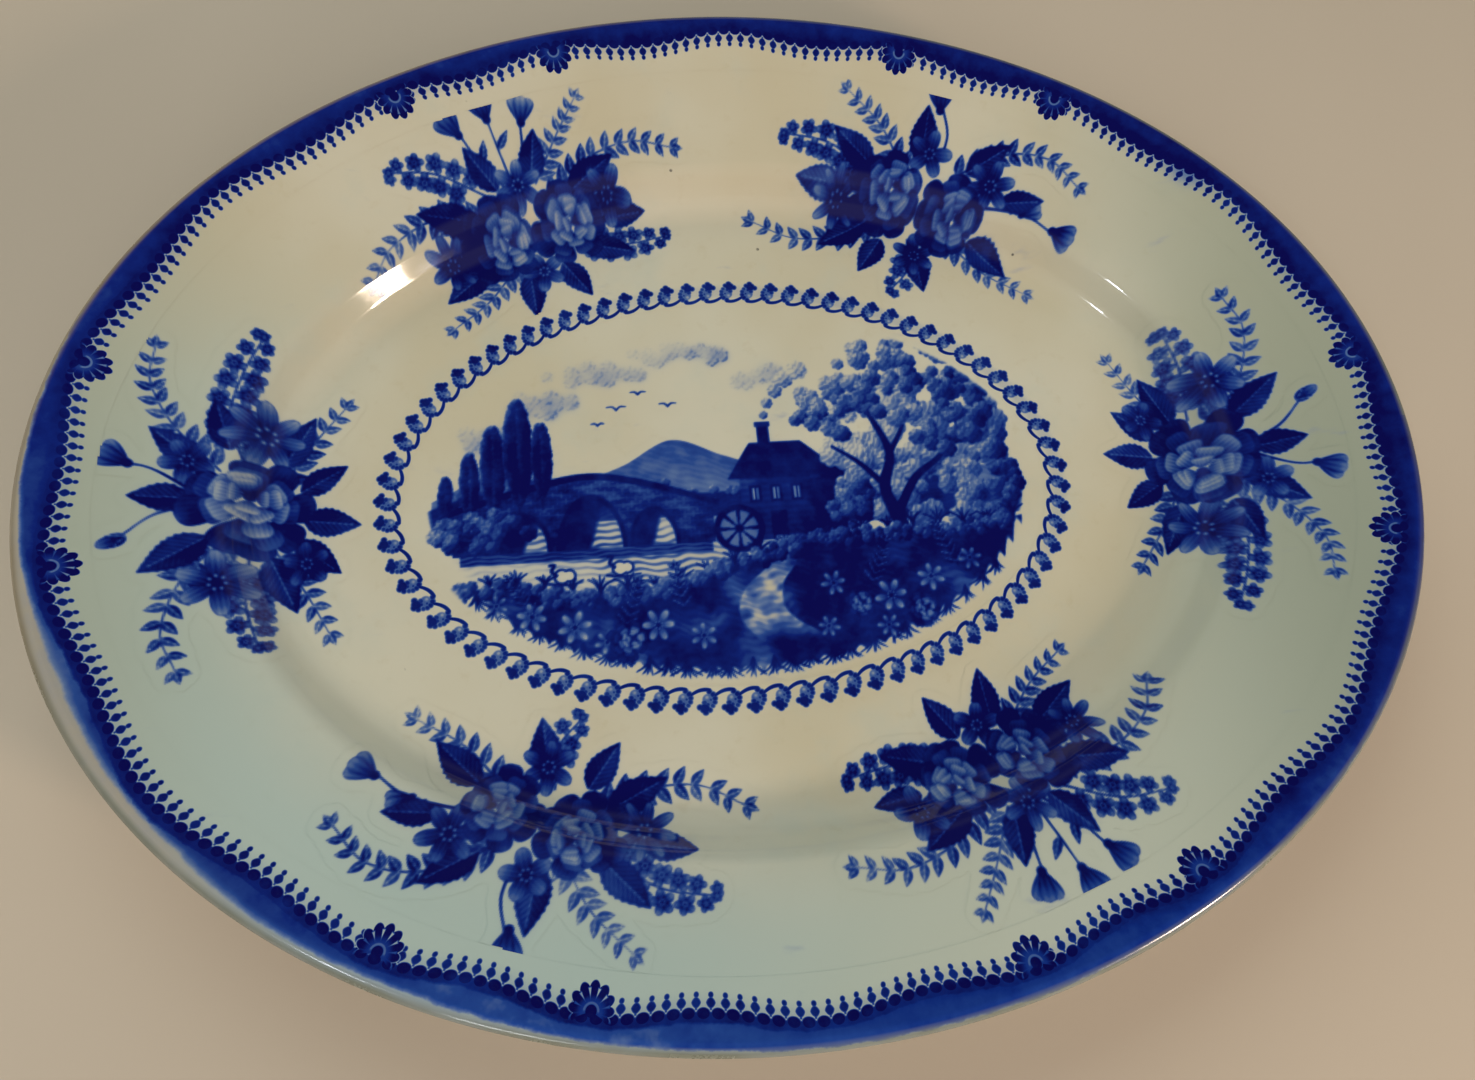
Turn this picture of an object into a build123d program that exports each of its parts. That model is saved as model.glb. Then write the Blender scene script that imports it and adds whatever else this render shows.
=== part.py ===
from build123d import *
import math
import os

# An oval serving platter: one fired earthenware body with a clear glaze melted onto it.
# X runs along the platter, Y across it and Z up. The origin is the middle of the foot
# ring, on the surface that the platter stands on. Millimetres and degrees.

# ---- driving sizes ----
platter_length = 394.0  # over the glazed lip, end to end
platter_width = 308.0  # over the glazed lip, side to side
platter_height = 38.0  # from the table to the top of the lip

rim_width = 44.5  # level width of the rim all round, lip to shoulder
well_wall_run = 8.8  # level distance from the shoulder in to the floor of the well
well_depth = 11.6  # from the shoulder down to the floor
shoulder_radius = 8.5  # where the rim turns down into the well, at mid-wall
floor_radius = 14.0  # where the wall of the well runs out into the floor, at mid-wall
wall = 4.6  # thickness of the fired clay
lip_crest = 0.4  # level strip along the very top of the rounded lip

foot_height = 3.3  # how far the foot ring stands below the glazed base
foot_inset = 9.0  # from the edge of the well's floor in to the foot ring
foot_thickness = 5.8  # foot ring where it leaves the base
foot_draft = 0.7  # how far each side of the foot leans in on its way to the table
foot_round = 0.9  # rounded edges of the bearing face

glaze = 0.4  # thickness of the glaze coat
wiped_height = 1.4  # bare clay above the table, wiped clean before firing

arc_step = 7.5  # largest turn between neighbouring ovals on a curved stretch

# ---- places worked out from them ----
crest_height = platter_height - glaze
lip_radius = wall / 2
lip_height = crest_height - lip_radius
lip_reach = platter_length / 2 - glaze - lip_radius - lip_crest
crest_reach = lip_reach + lip_crest / 2

base_height = foot_height + glaze
floor_height = base_height + wall / 2
shoulder_height = floor_height + well_depth
shoulder_reach = platter_length / 2 - rim_width
floor_reach = shoulder_reach - well_wall_run

foot_reach = floor_reach - foot_inset
foot_inner_reach = foot_reach - foot_thickness


def across(reach):
    """Half-width of the oval of that half-length: it lies as far in from the lip all round."""
    inset = platter_length / 2 - reach
    return platter_width / 2 - inset


def loft_ovals(ovals, mode=Mode.ADD):
    """Solid through level ovals, each given by its half-length and its height."""
    layers = []
    for reach, height in ovals:
        with BuildSketch(Plane.XY.offset(height)) as layer:
            Ellipse(reach, across(reach))
        layers.append(layer.sketch)
    loft(layers, ruled=True, mode=mode)


# The middle of the wall in section, half-length against height: floor, wall of the
# well, shoulder and rim, as far as the centre of the rounded lip.
with BuildLine() as section:
    Polyline(
        (floor_reach - 2 * floor_radius, floor_height),
        (floor_reach, floor_height),
        (shoulder_reach, shoulder_height),
        (lip_reach, lip_height),
    )
    fillet(section.vertices().sort_by(Axis.X)[1], radius=floor_radius)
    fillet(section.vertices().sort_by(Axis.X)[-2], radius=shoulder_radius)

floor_line = section.edges().sort_by(Axis.X)[0]
rising_edges = section.edges().sort_by(Axis.X)[1:]
rim_slope = (floor_line % 1).get_angle(rising_edges[-1] % 1)


def section_ovals(offset):
    """Ovals that keep a distance above the middle of the wall, or below it if minus."""
    for edge in rising_edges:
        turn = (edge % 0).get_angle(edge % 1)
        count = max(1, math.ceil(turn / arc_step))
        for step in range(count):
            at = edge @ (step / count)
            heading = edge % (step / count)
            yield at.X - offset * heading.Y, at.Y + offset * heading.X


def lip_ovals(radius, reach, first_angle):
    """Ovals round the lip, from an angle as far as its crest."""
    turn = 90 - first_angle
    count = math.ceil(abs(turn) / arc_step)
    for step in range(count + 1):
        angle = math.radians(first_angle + turn * step / count)
        yield reach + radius * math.cos(angle), lip_height + radius * math.sin(angle)


def add_hollow(coat, mode=Mode.ADD):
    """The space over the face, up to its crest, when the face carries that coat."""
    depth = wall / 2 + coat
    face = list(section_ovals(depth))
    roll = list(lip_ovals(depth, lip_reach, 90 + rim_slope))
    loft_ovals(face + roll, mode)


def add_hull(coat, mode=Mode.ADD):
    """Everything inside the back, from the base up to the crest, with that coat."""
    depth = wall / 2 + coat
    back = list(section_ovals(-depth))
    roll = list(lip_ovals(depth, lip_reach + lip_crest, rim_slope - 90))
    loft_ovals(back + roll, mode)


def add_foot_side(root_reach, draft, low, high=base_height, mode=Mode.ADD):
    """Solid within one side of the foot ring, which leans in by draft down to the table."""
    ovals = []
    for height in (low, high):
        lean = draft * (base_height - height) / base_height
        ovals.append((root_reach - lean, height))
    loft_ovals(ovals, mode)


# ---- fired clay: face, back, rounded lip and foot ring in one piece ----
with BuildPart() as biscuit_body:
    add_hull(0)
    add_foot_side(foot_reach, foot_draft, 0)
    add_foot_side(foot_inner_reach, -foot_draft, 0, mode=Mode.SUBTRACT)
    add_hollow(0, Mode.SUBTRACT)
    bearing_face = biscuit_body.faces().filter_by(Axis.Z).sort_by(Axis.Z)[0]
    fillet(bearing_face.edges(), radius=foot_round)

# ---- glaze over the face, as far as the middle of the crest ----
with BuildPart() as face_glaze:
    add_hollow(0)
    with BuildSketch(Plane.XY.offset(crest_height)):
        Ellipse(crest_reach, across(crest_reach))
    extrude(amount=glaze)
    add_hollow(glaze, Mode.SUBTRACT)

# ---- glaze over the back, from the crest down to the outside of the foot ring ----
with BuildPart() as back_glaze:
    add_hull(glaze)
    add_foot_side(foot_reach + glaze, foot_draft, wiped_height)
    add_hull(0, Mode.SUBTRACT)
    add_foot_side(foot_reach, foot_draft, 0, mode=Mode.SUBTRACT)
    with BuildSketch(Plane.XY.offset(crest_height)):
        Ellipse(crest_reach, across(crest_reach))
    extrude(amount=glaze, mode=Mode.SUBTRACT)

# ---- glaze inside the foot ring, over the base ----
with BuildPart() as base_glaze:
    add_foot_side(foot_inner_reach, -foot_draft, wiped_height)
    add_foot_side(foot_inner_reach - glaze, -foot_draft, wiped_height, foot_height, Mode.SUBTRACT)

biscuit_body.part.label = "biscuit_body"
face_glaze.part.label = "face_glaze"
back_glaze.part.label = "back_glaze"
base_glaze.part.label = "base_glaze"

os.makedirs("parts", exist_ok=True)
export_step(biscuit_body.part, "parts/biscuit_body.step")
export_step(face_glaze.part, "parts/face_glaze.step")
export_step(back_glaze.part, "parts/back_glaze.step")
export_step(base_glaze.part, "parts/base_glaze.step")
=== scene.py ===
import bpy
import math
import numpy as np
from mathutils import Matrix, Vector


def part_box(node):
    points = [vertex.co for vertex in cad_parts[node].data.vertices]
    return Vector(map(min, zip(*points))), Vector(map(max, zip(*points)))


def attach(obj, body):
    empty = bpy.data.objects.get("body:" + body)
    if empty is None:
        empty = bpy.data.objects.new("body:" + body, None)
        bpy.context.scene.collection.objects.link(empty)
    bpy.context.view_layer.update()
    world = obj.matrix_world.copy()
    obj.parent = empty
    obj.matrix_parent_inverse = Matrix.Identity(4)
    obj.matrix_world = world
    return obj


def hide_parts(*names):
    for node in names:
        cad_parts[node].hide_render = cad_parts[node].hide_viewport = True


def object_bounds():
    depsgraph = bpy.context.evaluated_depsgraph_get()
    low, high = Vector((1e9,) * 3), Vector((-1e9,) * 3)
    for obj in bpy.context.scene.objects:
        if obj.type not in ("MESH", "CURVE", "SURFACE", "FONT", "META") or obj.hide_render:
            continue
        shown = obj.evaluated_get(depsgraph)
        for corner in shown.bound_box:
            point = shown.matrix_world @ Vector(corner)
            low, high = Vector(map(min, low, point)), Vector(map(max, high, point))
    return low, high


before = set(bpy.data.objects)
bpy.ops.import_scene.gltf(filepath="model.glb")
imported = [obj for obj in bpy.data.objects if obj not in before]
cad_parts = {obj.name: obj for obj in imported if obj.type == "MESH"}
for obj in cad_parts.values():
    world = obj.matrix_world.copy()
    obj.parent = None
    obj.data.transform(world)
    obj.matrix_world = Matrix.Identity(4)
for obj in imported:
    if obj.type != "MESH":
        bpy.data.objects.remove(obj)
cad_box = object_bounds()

half_length = cad_box[1][0] * 1000
half_width = cad_box[1][1] * 1000
base_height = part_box("base_glaze")[1][2] * 1000

clay = 4.6
glaze = 0.4
skin = clay / 2 + glaze
rim_width = 44.5
well_run = 8.8
well_depth = 11.6
lip_crest = 0.4
floor_bend = 14.0
shoulder_bend = 8.5
foot_inset = 9.0
foot_thick = 5.8
foot_draft = 0.7
foot_round = 0.9
wiped_height = 1.5

floor_middle = base_height + clay / 2
lip_reach = half_length - skin - lip_crest
lip_middle = cad_box[1][2] * 1000 - skin
shoulder_reach = half_length - rim_width
floor_reach = shoulder_reach - well_run
flat_reach = floor_reach - 2 * floor_bend


def half_across(reach):
    """Half-width of the level oval of that half-length; on the flat they shrink evenly to a point."""
    outer = half_width - half_length + reach
    flat = half_width - half_length + flat_reach
    return np.where(reach > flat_reach, outer, reach * flat / flat_reach)


def bent_line(corners, bends, offset):
    """Rows of reach, height and heading along a line with rounded corners, offset to its left."""
    corners = np.array(corners, float)
    runs = np.diff(corners, axis=0)
    headings = np.arctan2(runs[:, 1], runs[:, 0])
    rows = []
    for corner, bend, before, after in zip(corners[1:], bends, headings, headings[1:]):
        turn = (after - before + math.pi) % (2 * math.pi) - math.pi
        side = math.copysign(1, turn)
        back = bend * math.tan(abs(turn) / 2)
        forward = np.array([math.cos(before), math.sin(before)])
        left = np.array([-math.sin(before), math.cos(before)])
        middle = corner - back * forward + side * bend * left
        radius = bend - side * offset
        for angle in before + turn * np.linspace(0, 1, max(5, int(radius * abs(turn) / 0.9))):
            outward = side * radius * np.array([math.sin(angle), -math.cos(angle)])
            rows.append((*(middle + outward), angle))
    first = corners[0] + offset * np.array([-math.sin(headings[0]), math.cos(headings[0])])
    last = corners[-1] + offset * np.array([-math.sin(headings[-1]), math.cos(headings[-1])])
    return np.array([(*first, headings[0]), *rows, (*last, headings[-1])])


def filled(rows, gap):
    """The same rows, with more between them wherever two lie further apart than gap."""
    made = [rows[0]]
    for a, b in zip(rows, rows[1:]):
        count = max(1, math.ceil(math.hypot(b[0] - a[0], b[1] - a[1]) / gap))
        made.extend(a + (b - a) * k / count for k in range(1, count + 1))
    return np.array(made)


wall = [
    (flat_reach, floor_middle),
    (floor_reach, floor_middle),
    (shoulder_reach, floor_middle + well_depth),
    (lip_reach, lip_middle),
]
face = filled(bent_line(wall, (floor_bend, shoulder_bend), skin), 1.6)
rim_slope = face[-1][2]

lip = []
for middle, first, last in (
    (lip_reach, rim_slope, 0.0),
    (lip_reach + lip_crest, 0.0, rim_slope - math.pi),
):
    for heading in np.linspace(first, last, 5 + int(abs(first - last) * 5)):
        up = skin * math.cos(heading)
        lip.append((middle - skin * math.sin(heading), lip_middle + up, heading))
lip = np.array(lip)

back = filled(bent_line(wall, (floor_bend, shoulder_bend), -skin)[::-1], 2.2) + (0, 0, math.pi)
back = back[back[:, 0] > floor_reach - 5.2]

foot_rise = base_height - glaze
foot_outer = floor_reach - foot_inset + glaze
foot_inner = foot_outer - foot_thick - 2 * glaze
foot = [
    (foot_outer + 2.5, foot_rise),
    (foot_outer, foot_rise),
    (foot_outer - foot_draft, 0),
    (foot_inner + foot_draft, 0),
    (foot_inner, foot_rise),
    (foot_inner - 6, foot_rise),
]
foot = filled(bent_line(foot, (0.7, foot_round, foot_round, 0.7), 0), 0.8)
bared = np.clip((wiped_height - foot[:, 1]) / 0.2, 0, 1)
foot[:, 0] -= 0.35 * bared * np.sign(foot[:, 0] - (foot_outer + foot_inner) / 2)

well = [(reach, face[0][1], 0.0) for reach in np.linspace(0, flat_reach, 14)[1:-1]]
under_side = [(reach, foot_rise, math.pi) for reach in np.linspace(foot_inner - 6, 0, 16)[1:-1]]
section = np.vstack([well, face, lip[1:-1], back, foot, under_side])


def round_the_oval(reach, height, heading, turn):
    """Places on the platter for a row of the section at a turn round the oval, and the way each faces."""
    across = half_across(reach)
    spread = (half_across(reach + 0.01) - half_across(reach - 0.01)) / 0.02
    c = np.cos(turn)
    s = np.sin(turn)
    places = np.stack([reach * c, across * s, height + 0 * c], -1)
    rise = np.cos(heading) * (across * c * c + spread * reach * s * s)
    out = np.stack([-across * np.sin(heading) * c, -reach * np.sin(heading) * s, rise], -1)
    return places, out / np.linalg.norm(out, axis=-1, keepdims=True)


def on_face(x, y):
    """Height of the glazed face over places on it, and the way it faces there."""
    low = np.full_like(x, 0.01)
    high = np.full_like(x, half_length)
    for _ in range(28):
        reach = (low + high) / 2
        beyond = (x / reach) ** 2 + (y / half_across(reach)) ** 2 > 1
        low = np.where(beyond, reach, low)
        high = np.where(beyond, high, reach)
    rows = np.vstack([face, lip[1:4]])
    height = np.interp(reach, rows[:, 0], rows[:, 1])
    heading = np.interp(reach, rows[:, 0], rows[:, 2])
    turn = np.arctan2(y / half_across(reach), x / reach)
    return height, round_the_oval(reach, height, heading, turn)[1]


class Wire:
    """One output in a recipe; arithmetic on it adds Math nodes."""

    def __init__(self, recipe, socket):
        self.recipe = recipe
        self.socket = socket

    def math(self, operation, *values):
        return self.recipe.add("ShaderNodeMath", {"operation": operation}, dict(enumerate(values)))

    def __add__(self, other):
        return self.math("ADD", self, other)

    def __sub__(self, other):
        return self.math("SUBTRACT", self, other)

    def __rsub__(self, other):
        return self.math("SUBTRACT", other, self)

    def __mul__(self, other):
        return self.math("MULTIPLY", self, other)

    def __truediv__(self, other):
        return self.math("DIVIDE", self, other)

    def __pow__(self, other):
        return self.math("POWER", self, other)

    def __abs__(self):
        return self.math("ABSOLUTE", self)

    __radd__ = __add__
    __rmul__ = __mul__

    def least(self, other):
        return self.math("MINIMUM", self, other)

    def most(self, other):
        return self.math("MAXIMUM", self, other)

    def between(self, none, full):
        """0 at none and 1 at full, smooth between; full may be the lesser."""
        ends = {"Value": self, "From Min": none, "From Max": full}
        return self.recipe.add("ShaderNodeMapRange", {"interpolation_type": "SMOOTHSTEP"}, ends)


class Recipe:
    """A material being mixed, node by node."""

    def __init__(self, name):
        self.material = bpy.data.materials.new(name)
        self.material.use_nodes = True
        self.tree = self.material.node_tree
        self.tree.nodes.clear()

    def add(self, kind, settings, values, output=0):
        """A node: its settings first, then a number, a colour or a wire on each named socket."""
        node = self.tree.nodes.new(kind)
        stops = settings.pop("stops", ())
        for name, value in settings.items():
            setattr(node, name, value)
        for k, (at, colour) in enumerate(stops):
            stop = node.color_ramp.elements[k] if k < 2 else node.color_ramp.elements.new(at)
            stop.position = at
            stop.color = colour
        for name, value in values.items():
            if isinstance(value, Wire):
                self.tree.links.new(value.socket, node.inputs[name])
            else:
                node.inputs[name].default_value = value
        return Wire(self, node.outputs[output]) if node.outputs else node

    def noise(self, where, scale, detail=2.0, rough=0.5):
        values = {"Vector": where, "Scale": scale, "Detail": detail, "Roughness": rough}
        return self.add("ShaderNodeTexNoise", {}, values)

    def blend(self, first, second, share):
        """A colour part of the way from the first to the second."""
        return self.add("ShaderNodeMix", {"data_type": "RGBA"}, {6: first, 7: second, 0: share}, 2)

    def split(self, vector):
        """The three numbers in a vector."""
        node = self.add("ShaderNodeSeparateXYZ", {}, {"Vector": vector}).socket.node
        return [Wire(self, socket) for socket in node.outputs]

    def stored(self, name):
        """The three numbers that a piece holds under that name at each of its points."""
        return self.split(self.add("ShaderNodeAttribute", {"attribute_name": name}, {}, "Vector"))


def tint(red, green, blue):
    """A colour given with each part from 0 to 255, as the renderer takes it."""
    parts = [v / 3294.6 if v < 11 else ((v / 255 + 0.055) / 1.055) ** 2.4 for v in (red, green, blue)]
    return (*parts, 1.0)


def earthenware(name, ink=None):
    """Cream body under clear glaze; ink, if given, makes the depth of printed cobalt from the recipe."""
    recipe = Recipe(name)
    where = recipe.add("ShaderNodeTexCoord", {}, {}, "Object")
    broad = recipe.noise(where, 11.0, 3.0)
    cloud = recipe.noise(where, 34.0, 4.0, 0.6)
    mottle = recipe.noise(where, 190.0, 3.0, 0.6)
    grain = recipe.noise(where, 1500.0, 2.0)
    colour = recipe.blend(tint(198, 192, 171), tint(191, 181, 154), broad.between(0.38, 0.66))
    colour = recipe.blend(colour, tint(180, 183, 168), cloud.between(0.5, 0.8) * 0.5)
    colour = recipe.blend(colour, tint(180, 166, 134), mottle.between(0.56, 0.86) * 0.35)
    lengthwise, crosswise, height = recipe.split(where)
    brim = ((lengthwise / 0.197) ** 2 + (crosswise / 0.154) ** 2) ** 0.5
    outward = brim + broad * 0.16
    # painted light: a cool greenish tint on the rim away from its north side, as if lit by cool light from
    # the north; greener to the west, paler to the east
    painted_cool_light = outward.between(0.68, 0.94) * (crosswise + broad * 0.03).between(0.115, 0.02)
    cool_light_tint = recipe.blend(tint(168, 187, 180), tint(200, 201, 182), lengthwise.between(-0.06, 0.07))
    colour = recipe.blend(colour, cool_light_tint, painted_cool_light * 0.8)
    # painted shade: the outer part of the face is darkened toward both ends of the platter, where the
    # light falls off
    ends = abs(lengthwise + 0.02).between(0.1, 0.2) * outward.between(0.66, 0.9)
    colour = recipe.blend(colour, tint(149, 153, 133), ends * 0.85)
    # painted shade: the outermost band of the south side is darkened grey-green
    painted_lip_shade = brim.between(0.972, 0.99) * crosswise.between(-0.05, -0.11)
    colour = recipe.blend(colour, tint(138, 144, 128), painted_lip_shade * 0.75)
    stained = brim.between(0.955, 0.982) * lengthwise.between(-0.12, -0.165)
    colour = recipe.blend(colour, tint(176, 156, 114), stained * 0.85)

    # blue that strayed as it fired, and iron specks in the clay
    drawn_out = {"Vector": where, "Rotation": (0, 0, 0.5), "Scale": (1, 2.6, 1)}
    stray = recipe.noise(recipe.add("ShaderNodeMapping", {}, drawn_out), 46.0, 3.0, 0.62)
    colour = recipe.blend(colour, tint(118, 130, 168), stray.between(0.66, 0.84) * 0.4)
    cells = recipe.add("ShaderNodeTexVoronoi", {}, {"Vector": where, "Scale": 74.0})
    specks = cells.between(0.05, 0.028) * recipe.noise(where, 61.0, 1.0).between(0.62, 0.66)
    colour = recipe.blend(colour, tint(52, 50, 58), specks * 0.8)

    rough = 0.04 + grain * 0.04 + mottle * 0.03
    if ink:
        depth = ink(recipe)
        depth = depth * (1 + (cloud - 0.5) * 0.5 + (mottle - 0.5) * 0.4)
        stops = (
            (0.0, tint(136, 150, 168)),
            (0.28, tint(94, 117, 158)),
            (0.5, tint(40, 72, 142)),
            (0.75, tint(14, 34, 116)),
            (1.0, tint(8, 8, 80)),
        )
        cobalt = recipe.add("ShaderNodeValToRGB", {"stops": stops}, {"Fac": depth})
        clear = crosswise.between(-0.09, -0.14) * depth.between(0.95, 0.7) * 0.25
        cobalt = recipe.blend(cobalt, tint(16, 66, 160), clear)
        colour = recipe.blend(colour, cobalt, depth.between(0.0, 0.34))
    # the lip's outer turn: brown bare clay where it is worn to the north and west, and a painted
    # grey-green shade along its outer side to the south and east
    worn_and_shaded = recipe.stored("edge")[0] * (0.6 + cloud.between(0.35, 0.65) * 0.4)
    brown = (crosswise * 0.8 - lengthwise).between(0.1, 0.19)
    bare_clay_and_shade = recipe.blend(tint(115, 118, 104), tint(140, 122, 94), brown)
    colour = recipe.blend(colour, bare_clay_and_shade, worn_and_shaded)
    rough = rough + worn_and_shaded * 0.2
    if not ink:
        wiped = height.between(0.0016, 0.0012)
        biscuit = recipe.blend(tint(206, 190, 158), tint(160, 138, 104), cloud.between(0.4, 0.7))
        colour = recipe.blend(colour, biscuit, wiped)
        rough = rough + wiped * 0.6

    relief = recipe.noise(where, 42.0, 1.0) * 0.7 + mottle * 0.05 + grain * 0.012
    bump = {"Strength": 1.0, "Distance": 0.00016, "Height": relief}
    normal = recipe.add("ShaderNodeBump", {}, bump)
    values = {"Base Color": colour, "Roughness": rough, "Normal": normal}
    shader = recipe.add("ShaderNodeBsdfPrincipled", {}, values)
    recipe.add("ShaderNodeOutputMaterial", {}, {"Surface": shader})
    return recipe.material


def piece(name, places, quads, out, material):
    """A smooth piece of the platter from places in millimetres, and the way each of them faces."""
    mesh = bpy.data.meshes.new(name)
    mesh.from_pydata((np.reshape(places, (-1, 3)) / 1000).tolist(), [], quads)
    mesh.shade_smooth()
    mesh.normals_split_custom_set_from_vertices(np.reshape(out, (-1, 3)).tolist())
    mesh.materials.append(material)
    made = bpy.data.objects.new(name, mesh)
    bpy.context.collection.objects.link(made)
    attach(made, "root")
    return made


def store(made, name, *numbers):
    """Keeps three numbers at each point of a piece, for its material to read."""
    kept = made.data.attributes.new(name, "FLOAT_VECTOR", "POINT")
    values = np.stack([np.ravel(v) for v in np.broadcast_arrays(*numbers)], -1)
    kept.data.foreach_set("vector", values.astype(np.float32).ravel())


def worn_and_shaded_edge(places):
    """How worn and shaded each place is: the outermost turn of the lip, where dishes knock together and
    where shade is painted on its outer side.
    """
    outermost = np.hypot(places[..., 0] / half_length, places[..., 1] / half_width)
    return np.clip((outermost - 0.985) / 0.007, 0, 1) * (places[..., 2] > lip_middle - 2)


def grid_quads(rows, columns):
    """Faces between neighbouring rows and columns of places."""
    at = np.arange(rows * columns).reshape(rows, columns)
    corners = np.stack([at[:-1, :-1], at[:-1, 1:], at[1:, 1:], at[1:, :-1]], -1)
    return corners.reshape(-1, 4)


turns = np.linspace(0, 2 * math.pi, 520, endpoint=False)
places, out = round_the_oval(*[section[:, k, None] for k in range(3)], turns[None])
quads = grid_quads(len(section), len(turns) + 1)
row, column = np.divmod(quads, len(turns) + 1)
quads = (row * len(turns) + column % len(turns))[:, ::-1]
top = len(section) * len(turns)
ring = np.arange(len(turns))
after = np.roll(ring, -1)
last = top - len(turns)
quads = [
    *quads.tolist(),
    *np.stack([ring, after, 0 * ring + top], -1).tolist(),
    *np.stack([last + after, last + ring, 0 * ring + top + 1], -1).tolist(),
]
places = np.vstack([places.reshape(-1, 3), (0, 0, face[0][1]), (0, 0, foot_rise)])
out = np.vstack([out.reshape(-1, 3), (0, 0, 1), (0, 0, -1)])
platter = piece("platter_body", places, quads, out, earthenware("glazed_body"))
store(platter, "edge", worn_and_shaded_edge(places), 0, 0)
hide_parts("biscuit_body", "face_glaze", "back_glaze", "base_glaze")

# ---- Printed border of the rim ----
# A cobalt band with a scalloped inner edge, a fringe of beads and drops, and twelve small
# fans where the scallops meet. It is printed on strips of tissue and rubbed on under the glaze.
print_lift = 0.045
border_rows = np.arange(4.5, 18.5, 1.0)
drop_count = 299
bead_long = 1.75
bead_high = 1.3
fan_size = 5.3
fan_lobe = math.radians(29)
fan_drop = 0.7
fan_places = (24.5, 159, 214.3, 331, 384.4, 512.6, 575.6, 717.9, 772.1, 885.7, 938.9, 1068.9)


def spaced_oval(long, wide, count):
    """Places evenly spaced round an oval, the way out from each, and the girth of the oval."""
    fine = np.linspace(0, 2 * math.pi, 20001)
    steps = np.hypot(np.diff(long * np.cos(fine)), np.diff(wide * np.sin(fine)))
    run = np.append(0, np.cumsum(steps))
    turn = np.interp(np.linspace(0, run[-1], count + 1), run, fine)
    line = np.stack([long * np.cos(turn), wide * np.sin(turn)], -1)
    out = np.stack([wide * np.cos(turn), long * np.sin(turn)], -1)
    return line, out / np.linalg.norm(out, axis=-1, keepdims=True), run[-1]


def bake_map(made, u, v):
    """Says where each corner of a piece's faces lies on the sheet its colours are baked into."""
    layer = made.data.uv_layers.new(name="OFBake")
    layer.data.foreach_set("uv", np.stack([u, v], -1).astype(np.float32).ravel())


def strip_map(made, rows, columns, strips):
    """Lays a long ring out as strips, one above another, for its colours to be baked into."""
    row, column = np.divmod(np.arange((rows - 1) * (columns - 1)), columns - 1)
    strip = column * strips // (columns - 1)
    length = (columns - 1) / strips
    corner_row = row[:, None] + np.array([0, 1, 1, 0])
    corner_column = column[:, None] + np.array([0, 0, 1, 1])
    u = 0.01 + 0.98 * (corner_column - strip[:, None] * length) / length
    v = (strip[:, None] + 0.05 + 0.9 * corner_row / (rows - 1)) / strips
    bake_map(made, u, v)


def scallops(run, girth):
    """How far in from the lip the band reaches: least at the fans, and half way between far ones."""
    stops = []
    for start, end in zip(fan_places, [*fan_places[1:], fan_places[0] + girth]):
        swell = 9.4 if end - start < 90 else 6.5
        stops.append((start, 6.5))
        if end - start > 90:
            stops.append((start * 0.75 + end * 0.25, 9.4))
        stops.append(((start + end) / 2, swell))
        if end - start > 90:
            stops.append((start * 0.25 + end * 0.75, 9.4))
    at, deep = np.array(stops).T
    at = np.concatenate([at - girth, at, at + girth])
    deep = np.tile(deep, 3)
    k = np.clip(np.searchsorted(at, run) - 1, 0, len(at) - 2)
    share = (run - at[k]) / (at[k + 1] - at[k])
    scallop = deep[k] + (deep[k + 1] - deep[k]) * (0.5 - 0.5 * np.cos(math.pi * share))
    at = (0, 110, 220, 430, 500, 560, 640, 700, 820, 1000, girth)
    return scallop + np.interp(run, at, (1.0, 0.4, 0.4, 0.0, 0.3, 1.8, 1.7, 1.3, 1.1, 0.9, 1.0))


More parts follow.
